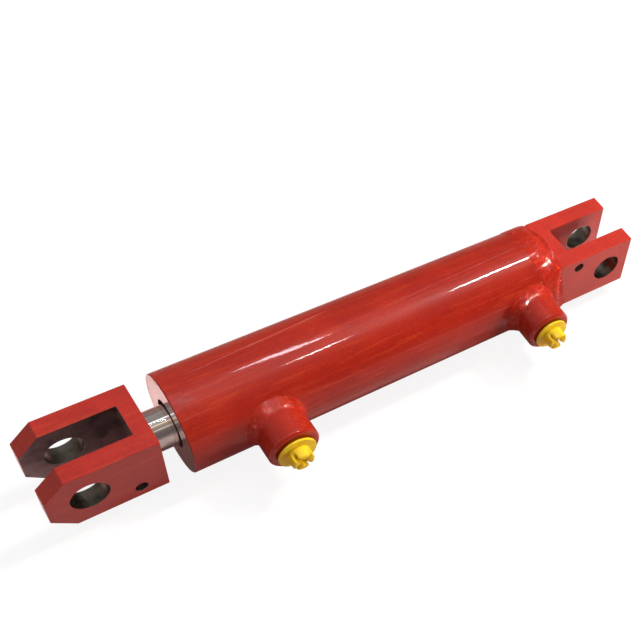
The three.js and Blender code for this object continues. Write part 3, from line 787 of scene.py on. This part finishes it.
def port_weld(name, node, x, low_growth, seed):
    """A fillet bead along the saddle line round a boss, grown below and towards the rod end."""
    steps = 30
    turn = np.linspace(0, 2 * math.pi, 420, endpoint=False)
    c, s = np.cos(turn), np.sin(turn)
    low = (0.5 + 0.5 * np.cos(turn - math.radians(215))) ** 3
    wander = 0.2 * MM * np.sin(4 * turn + seed) + 0.12 * MM * np.sin(11 * turn + 2 * seed)
    foot = smoothed(PORT_FOOT, turn, 9) * MM + low_growth * low + wander
    rise = foot * 0.85 - 1.5 * wander
    tuck = 0.12 * MM  # how far the bead's edges lie under the barrel's and the boss's surface

    def row(out, up):
        """Points out from the boss's side and up from the barrel's surface."""
        radius = BOSS_RADIUS + out
        z = radius * s
        return np.stack([x + radius * c, -np.sqrt(BARREL_RADIUS ** 2 - z * z) - up, z], 1)

    rows = []
    for k in range(steps + 1):
        share = k / steps
        out = foot * (1 - share) ** 1.3
        up = rise * share ** 1.3
        centre = row(out, up)
        ripple = np.sin(turn * BOSS_RADIUS / (0.42 * MM) + 3 * math.cos(math.pi * (share - 0.5)))
        coarse = smooth_noise(centre, 5 * MM, seed) * 0.08 * MM
        lumps = coarse + smooth_noise(centre, 2.4 * MM, seed + 9) * 0.03 * MM
        grow = bead_swell(share, 0.5) * (lumps + RIPPLE * ripple)
        out_tuck = tuck if share == 1 else 0
        up_tuck = tuck if share == 0 else 0
        rows.append(row(out + grow * 0.7 - out_tuck, up + grow * 0.7 - up_tuck))
    inner, under = -0.8 * MM, -0.6 * MM
    rows += [row(inner, rise - 0.3 * MM), row(inner, under), row(foot - 0.3 * MM, under)]
    weld_piece(name, rows, ON_BARREL, node)


PLUG = {  # radii of its flange, stem and head, the gap under the flange, and the flange's thickness
    "flange": 11.6 * MM, "stem": 7.9 * MM, "head": 6.9 * MM, "gap": 1.2 * MM, "thickness": 1.6 * MM,
    "slot": 1.5 * MM, "slot_depth": 5.5 * MM,
}


def port_plug(name, node, x, turn_deg):
    """A moulded plug: grooved stem, flange, and a head split by two crossed slots, all softly rounded."""
    head_end, stem_end = span(node, 1)
    flange_back = PORT_FACE - PLUG["gap"]
    flange_front = flange_back - PLUG["thickness"]
    stem = turned(rounded([
        (flange_front, 0, 0), (flange_front, PLUG["flange"], 0.5 * MM),
        (flange_back, PLUG["flange"], 0.4 * MM), (flange_back, PLUG["stem"], 0.2 * MM),
        (flange_back + 4 * MM, PLUG["stem"], 0),
        (flange_back + 4.6 * MM, PLUG["stem"] - 0.4 * MM, 0.2 * MM),
        (flange_back + 5.2 * MM, PLUG["stem"], 0),
        (stem_end - 0.8 * MM, PLUG["stem"], 0.3 * MM),
        (stem_end, PLUG["stem"] - 0.8 * MM, 0.3 * MM), (stem_end, 0, 0),
    ]), along_y(x), 128)
    head_root = flange_back + 2 * MM
    head = bar_mesh(head_end, head_root, PLUG["head"], along_y(x))
    cutters = []
    for angle in (turn_deg, turn_deg + 90):
        outline = rectangle(10 * MM, PLUG["slot"] / 2)
        slot = block_mesh(outline, head_end - PAST, head_end + PLUG["slot_depth"], "Y")
        slot.transform(Matrix.Translation((x, 0, 0)) @ Matrix.Rotation(math.radians(angle), 4, "Y"))
        cutters.append((slot, None))
    head = cut(head, cutters, remesh=0.25 * MM, smooth=260)
    mesh = joined(stem, head)
    mesh.materials.clear()
    piece(name, mesh, node, node, YELLOW_PLASTIC, crease=50, weighted=False)


# ---- Rod end and piston ----

ROD_HALF_WIDTH = span("rod_clevis", 1)[1]
ROD_HALF_HEIGHT = span("rod_clevis", 2)[1]
SPIGOT_RADIUS = 9 * MM
SHANK_RADIUS = 10 * MM
ROD_SEAT = ROD_CLEVIS_REAR - 3.5 * MM
ROD_WELD_LEG = 2.5 * MM


def rod_clevis():
    """Chamfered block with a slot, and a countersunk socket for the rod."""
    clevis = CLEVISES["rod"]
    front, rear, half, chamfer = ROD_CLEVIS_FRONT, ROD_CLEVIS_REAR, ROD_HALF_HEIGHT, clevis["chamfer"]
    outline = [
        (front + chamfer, -half), (rear, -half), (rear, half),
        (front + chamfer, half), (front, half - chamfer), (front, chamfer - half),
    ]
    block = block_mesh(outline, -ROD_HALF_WIDTH, ROD_HALF_WIDTH, "Y")
    edge, root = clevis["slot"] / 2, clevis["root"]
    mouth, reach = front - PAST, 2 * half
    slot = block_mesh([(mouth, -edge), (root, -edge), (root, edge), (mouth, edge)], -reach, reach, "Z")
    socket = turned([
        (root - 2 * MM, 0), (root - 2 * MM, SPIGOT_RADIUS + FIT_GAP),
        (ROD_SEAT, SPIGOT_RADIUS + FIT_GAP), (ROD_SEAT, ROD_RADIUS + FIT_GAP),
        (rear - ROD_WELD_LEG, ROD_RADIUS + FIT_GAP),
        (rear + PAST, ROD_RADIUS + ROD_WELD_LEG + PAST), (rear + PAST, 0),
    ])
    cutters = [(slot, SLOT_STEEL), (socket, BORE_STEEL), *pin_cutters(clevis, ROD_HALF_WIDTH)]
    mesh = cut(block, cutters, ROD_END_PAINT, bevel=0.4 * MM)
    piece("rod_fork", mesh, ON_ROD, "rod_clevis")


def rod_weld():
    """Rippled bead that fills the countersink where the rod enters the clevis."""
    steps = 16
    turn = np.linspace(0, 2 * math.pi, 240, endpoint=False)
    ripple_height, sink = 0.05 * MM, 0.05 * MM  # and how far the bead reaches into the rod's surface
    crown = span("rod_clevis_weld", 0)[1] - ROD_CLEVIS_REAR
    low, high = ROD_RADIUS - sink, ROD_RADIUS + ROD_WELD_LEG
    rows = []
    for k in range(steps + 1):
        share = k / steps
        swell = 4 * share * (1 - share)
        ripple = ripple_height * np.sin(40 * turn + 2 * math.pi * swell)
        x = ROD_CLEVIS_REAR + swell * (crown - ripple_height + ripple)
        rows.append(round_row(x, low + (high - low) * share, turn))
    rows.append(round_row(ROD_CLEVIS_REAR - ROD_WELD_LEG, low, turn))
    weld_piece("rod_weld_bead", rows, ON_ROD, "rod_clevis_weld")


def rod():
    """Chromed rod with a spigot for the clevis, and a thinner shank for the piston and its nut."""
    corners = [
        (ROD_FRONT, 0, 0), (ROD_FRONT, SPIGOT_RADIUS, 0.5 * MM),
        (ROD_SEAT, SPIGOT_RADIUS, 0), (ROD_SEAT, ROD_RADIUS, 0.4 * MM),
        (PISTON_FRONT, ROD_RADIUS, 0.6 * MM), (PISTON_FRONT, SHANK_RADIUS, 0.3 * MM),
        (ROD_END, SHANK_RADIUS, 0.8 * MM), (ROD_END, 0, 0),
    ]
    piece("chromed_rod", turned(rounded(corners)), ON_ROD, "piston_rod", CHROME)


# Start and end from the piston's front, and the radius of the bottom.
PISTON_GROOVES = [(24 * MM, 31 * MM, 22.5 * MM), (14 * MM, 20 * MM, 19 * MM), (3 * MM, 10 * MM, 22.5 * MM)]
PISTON_BORE_GROOVE = (15 * MM, 18.5 * MM, 12.2 * MM)


def piston_body():
    """Piston with grooves for its seal and wear rings, and one in its bore for the static seal."""
    bore, outside = SHANK_RADIUS + FIT_GAP, outer_radius("piston")
    lip = 0.2 * MM
    seal_start, seal_end, seal_bottom = PISTON_BORE_GROOVE
    corners = [
        (PISTON_FRONT, bore, lip), (PISTON_FRONT + seal_start, bore, 0),
        (PISTON_FRONT + seal_start, seal_bottom, 0),
        (PISTON_FRONT + seal_end, seal_bottom, 0), (PISTON_FRONT + seal_end, bore, 0),
        (PISTON_REAR, bore, lip), (PISTON_REAR, outside - MM, lip),
        (PISTON_REAR - MM, outside, lip),
    ]
    for start, end, bottom in PISTON_GROOVES:
        corners += [
            (PISTON_FRONT + end, outside, lip), (PISTON_FRONT + end, bottom, 0),
            (PISTON_FRONT + start, bottom, 0), (PISTON_FRONT + start, outside, lip),
        ]
    corners += [(PISTON_FRONT + MM, outside, lip), (PISTON_FRONT, outside - MM, lip)]
    piece("piston_body", turned(rounded(corners)), ON_ROD, "piston", CAST_IRON)


def lock_nut():
    """Hexagon nut whose first corner points the way its CAD node's furthest corner does."""
    start, end = span("piston_lock_nut", 0)
    points = node_points("piston_lock_nut")
    reach = np.hypot(points[:, 1], points[:, 2])
    far = points[reach.argmax()]
    blank = bar_mesh(start, end, float(reach.max()), turns=6)
    blank.transform(Matrix.Rotation(math.atan2(far[2], far[1]), 4, "X"))
    hole = bar_mesh(start - PAST, end + PAST, SHANK_RADIUS + FIT_GAP)
    mesh = cut(blank, [(hole, INNER_STEEL)], INNER_STEEL, bevel=0.5 * MM)
    piece("lock_nut", mesh, ON_ROD, "piston_lock_nut")


RINGS = [  # piece, CAD node, body, material slot, material, fillet of its edges
    ("gland_seal_ring", "gland_o_ring", ON_BARREL, "nitrile", NITRILE, 1.1 * MM),
    ("gland_backup", "gland_backup_ring", ON_BARREL, "nylon", NYLON, 0.2 * MM),
    ("rod_lip_seal", "rod_seal", ON_BARREL, "polyurethane", POLYURETHANE, 0.6 * MM),
    ("rod_guide_front", "rod_guide_ring_front", ON_BARREL, "nylon", NYLON, 0.2 * MM),
    ("rod_guide_rear", "rod_guide_ring_rear", ON_BARREL, "nylon", NYLON, 0.2 * MM),
    ("piston_slipper_seal", "piston_seal", ON_RINGS, "polyurethane", POLYURETHANE, 0.3 * MM),
    ("piston_energizer", "piston_seal_energizer", ON_RINGS, "nitrile", NITRILE, 0.8 * MM),
    ("piston_wear_front", "piston_wear_ring_front", ON_RINGS, "nylon", NYLON, 0.3 * MM),
    ("piston_wear_rear", "piston_wear_ring_rear", ON_RINGS, "nylon", NYLON, 0.3 * MM),
    ("piston_bore_seal", "piston_o_ring", ON_ROD, "nitrile", NITRILE, 0.9 * MM),
]

barrel()
gland()
rod_wiper()
base_cap()
base_clevis()
base_weld()
port_boss("rod_end_port", "rod_port_boss", PORTS["rod"])
port_boss("base_end_port", "base_port_boss", PORTS["base"])
port_weld("rod_end_port_bead", "rod_port_weld", PORTS["rod"], 0, 5)
port_weld("base_end_port_bead", "base_port_weld", PORTS["base"], 2 * MM, 8)
port_plug("rod_dust_plug", "rod_port_plug", PORTS["rod"], 52)
port_plug("base_dust_plug", "base_port_plug", PORTS["base"], 50)
rod_clevis()
rod_weld()
rod()
piston_body()
lock_nut()
for details in RINGS:
    ring(*details)

# ---- Studio ----

# The camera: its place, where its right side and its underside point, its lens in mm and its lens shift.
EYE = Vector((-0.3639, -0.3824, 0.5727))
EYE_RIGHT = Vector((0.75376, -0.61725, 0.22549))
EYE_DOWN = Vector((-0.39150, -0.69739, -0.60032))
LENS = 62.21
LENS_SHIFT = {"shift_x": -0.569, "shift_y": 0.0544}
LAMP_DISTANCE = 1.3  # from a glint on the object to the lamp that makes it
WHITE = (1, 1, 1)


def studio_paper():
    """Pale paper: the camera sees it nearly white, and the object reflects a softer grey, darker behind."""
    material = bpy.data.materials.new("studio_paper")
    t = Tree(material)
    y = t.add("SeparateXYZ", {0: t.place()}).outputs["Y"]
    grain = t.noise(0.35, 3)
    front = t.mix(grain, (0.40, 0.31, 0.30), (0.45, 0.35, 0.34))
    middle = t.mix(grain, (0.85, 0.64, 0.63), (0.90, 0.68, 0.67))
    sheet = t.mix(t.step(y, -0.03, 0.01), front, middle)
    sheet = t.mix(t.step(y, 0.03, 0.14), sheet, (0.30, 0.16, 0.14))
    paper = t.add("BsdfDiffuse", {"Color": sheet})
    white = t.add("Emission", {"Color": WHITE, "Strength": 1.05})
    lit = t.add("BsdfDiffuse", {"Color": (0.9, 0.9, 0.9)})
    seen = t.add("MixShader", {0: 0.84, 1: lit.outputs[0], 2: white.outputs[0]})
    camera_ray = t.add("LightPath").outputs["Is Camera Ray"]
    mixed = t.add("MixShader", {0: camera_ray, 1: paper.outputs[0], 2: seen.outputs[0]})
    t.add("OutputMaterial", {"Surface": mixed.outputs[0]})
    return material


def studio_floor():
    """A wide flat sheet of paper just under the object."""
    shape = bmesh.new()
    bmesh.ops.create_grid(shape, x_segments=60, y_segments=60, size=6.0)
    mesh = bpy.data.meshes.new("studio_floor")
    shape.to_mesh(mesh)
    shape.free()
    mesh.materials.append(studio_paper())
    floor = placed("studio_floor", mesh)
    floor.location = (0, 0, -WELD_RADIUS - 0.2 * MM)


def standing(place, right, up, back):
    """The matrix that stands a lamp or the camera at a place, turned by where its own axes point."""
    return Matrix.Translation(place) @ Matrix((right, up, back)).transposed().to_4x4()


def lamp(name, position, target, size, power, colour=WHITE, along=(1, 0, 0)):
    """An area light of size (length, width) at a point, facing a target, with its length along a line."""
    data = bpy.data.lights.new(name, "AREA")
    data.shape = "RECTANGLE"
    data.size, data.size_y = size
    data.energy = power
    data.color = colour
    light = placed(name, data)
    forward = (Vector(target) - Vector(position)).normalized()
    side = Vector(along)
    side = (side - forward * side.dot(forward)).normalized()
    light.matrix_world = standing(position, side, -forward.cross(side), -forward)
    return light


def mirrored(point, normal):
    """Where a lamp stands for the camera to see it mirrored at a point of the surface."""
    view = (EYE - point).normalized()
    return point + (2 * normal.dot(view) * normal - view) * LAMP_DISTANCE


def barrel_mirror(x, lean_deg):
    """Where a lamp stands to be seen in the barrel at x, leaning from the top to -Y."""
    lean = math.radians(lean_deg)
    normal = Vector((0, -math.sin(lean), math.cos(lean)))
    return mirrored(Vector((x, 0, 0)) + normal * BARREL_RADIUS, normal)


def streak(name, start, end, width, radiance, colour=WHITE):
    """A strip light whose reflection on the barrel runs between two (x in mm, lean) places.

    width is the streak's width on the barrel, as an angle round it.
    """
    a = barrel_mirror(start[0] * MM, start[1])
    b = barrel_mirror(end[0] * MM, end[1])
    x, lean = (start[0] + end[0]) / 2 * MM, (start[1] + end[1]) / 2
    line = (b - a).normalized()
    across = barrel_mirror(x, lean + width) - barrel_mirror(x, lean)
    length, breadth = (b - a).length, (across - line * across.dot(line)).length
    power = radiance * math.pi * length * breadth
    lamp(name, (a + b) / 2, (x, 0, 0), (length, breadth), power, colour, line)


def sparkle(name, place, normal, receivers, radiance):
    """A small lamp that only makes glints, on some pieces, round a place (in mm) whose normal is given."""
    point, size = Vector(place) * MM, 0.05
    power = radiance * math.pi * size * size
    light = lamp(name, mirrored(point, Vector(normal).normalized()), point, (size, size), power)
    light.visible_diffuse = False
    light.light_linking.receiver_collection = receivers


def studio_lights():
    """A key and a fill that don't show in the gloss, glints on the welds, and streaks along the barrel."""
    key = lamp("key", (1.6, 0.05, 1.9), (-0.15, 0, 0), (0.4, 0.4), 55, (1.0, 0.98, 0.96))
    side_fill = lamp("side_fill", (0.5, -0.62, 0.06), (-0.05, 0, 0), (0.3, 0.12), 3.7, (1.0, 0.97, 0.95))
    key.visible_glossy = side_fill.visible_glossy = False
    welds = bpy.data.collections.new("welds")
    for name in ("base_weld_bead", "rod_end_port_bead", "base_end_port_bead"):
        welds.objects.link(bpy.data.objects[name])
    sparkle("port_sparkle", (-220, -27, 17), (-0.12, -0.5, 0.86), welds, 2200)
    sparkle("base_sparkle", (-18, -14, 27), (0.05, -0.48, 0.87), welds, 3400)
    streak("streak_rod_end_broad", (-217, 8), (-183, 12), 3.5, 24, (0.95, 0.92, 1.0))
    streak("streak_rod_end_thin", (-199, 23.6), (-168, 22.7), 0.5, 120)
    streak("streak_base_end", (-84, 18.4), (-31, 17.6), 0.85, 210)
    streak("glints_rod_end", (-267, 15), (-263.5, 20), 0.8, 160)
    streak("thin_line_rod_end", (-250, -11.5), (-169, -22), 0.5, 5, (1.0, 0.85, 0.85))
    streak("thin_line_base_end", (-130, 5.4), (-36, -1.3), 0.5, 3.5, (1.0, 0.88, 0.9))


SKY = [  # what the object reflects, by lean in degrees from straight up towards -Y
    (-105, (0.42, 0.18, 0.15)),
    (-80, (0.31, 0.19, 0.165)),
    (-58, (0.26, 0.21, 0.20)),
    (-46, (0.40, 0.36, 0.35)),
    (-38, (0.32, 0.29, 0.28)),
    (-20, (0.31, 0.28, 0.27)),
    (0, (0.45, 0.42, 0.41)),
    (14, (0.46, 0.38, 0.30)),
    (27, (0.36, 0.28, 0.22)),
    (40, (0.34, 0.29, 0.26)),
    (50, (0.19, 0.145, 0.135)),
    (74, (0.13, 0.11, 0.105)),
    (88, (0.26, 0.22, 0.22)),
    (105, (0.40, 0.33, 0.32)),
]
SKY_STRIPS = [  # lean and half width in degrees, and the light added
    (-10, 3.0, (1.9, 1.85, 2.0)),
    (13, 3.5, (0.75, 0.58, 0.42)),
    (38, 1.3, (1.1, 1.0, 1.0)),
]


def studio_world():
    """Soft bands of room light round the X axis, with bright strips that only the rod end sees.

    The camera itself sees a white backdrop.
    """
    world = bpy.data.worlds.new("studio_world")
    scene.world = world
    t = Tree(world)
    direction = t.add("SeparateXYZ", {0: t.add("TexCoord").outputs["Generated"]})
    towards_port = t.math("MULTIPLY", direction.outputs["Y"], -1.0)
    lean = t.math("ARCTAN2", towards_port, direction.outputs["Z"])
    ramp = t.add("ValToRGB", {0: t.math("ADD", t.math("DIVIDE", lean, 2 * math.pi), 0.5)})
    stops = ramp.color_ramp.elements
    while len(stops) < len(SKY):
        stops.new(0.5)
    for stop, (degrees, colour) in zip(stops, SKY):
        stop.position = degrees / 360 + 0.5
        stop.color = (*colour, 1)
    towards_rod = t.math("MULTIPLY", direction.outputs["X"], -1.0)
    dimmed = t.mix(t.step(towards_rod, -0.30, -0.16), (0.58, 0.58, 0.58), WHITE)
    total = t.mix(1.0, ramp.outputs["Color"], dimmed, "MULTIPLY")
    rod_end = t.step(towards_rod, -0.160, -0.146)
    for degrees, half_width, colour in SKY_STRIPS:
        off = t.math("ABSOLUTE", t.math("SUBTRACT", lean, math.radians(degrees)))
        edge = math.radians(half_width)
        inside = t.math("SUBTRACT", 1.0, t.step(off, edge * 0.6, edge))
        total = t.mix(1.0, total, t.layer((0, 0, 0), inside, rod_end, colour), "ADD")
    camera_ray = t.add("LightPath").outputs["Is Camera Ray"]
    shown = t.mix(camera_ray, total, WHITE)
    background = t.add("Background", {"Color": shown, "Strength": 1.0})
    t.add("OutputWorld", {"Surface": background.outputs[0]})


def studio_camera():
    """The camera, with a lens shift that holds only while it stands at its own viewpoint."""
    data = bpy.data.cameras.new("camera")
    data.lens = LENS
    data.sensor_width = 36
    data.clip_start = 0.05
    camera = placed("camera", data)
    camera.matrix_world = standing(EYE, EYE_RIGHT, -EYE_DOWN, EYE_DOWN.cross(EYE_RIGHT))
    scene.camera = camera
    for channel, shift in LENS_SHIFT.items():
        driver = data.driver_add(channel).driver
        variable = driver.variables.new()
        variable.name = "x"
        variable.type = "TRANSFORMS"
        target = variable.targets[0]
        target.id = camera
        target.transform_type = "LOC_X"
        target.transform_space = "WORLD_SPACE"
        driver.expression = f"{shift} if abs(x - ({EYE.x:.4f})) < 0.0005 else 0"


studio_floor()
studio_lights()
studio_world()
studio_camera()
scene.view_settings.view_transform = "Standard"
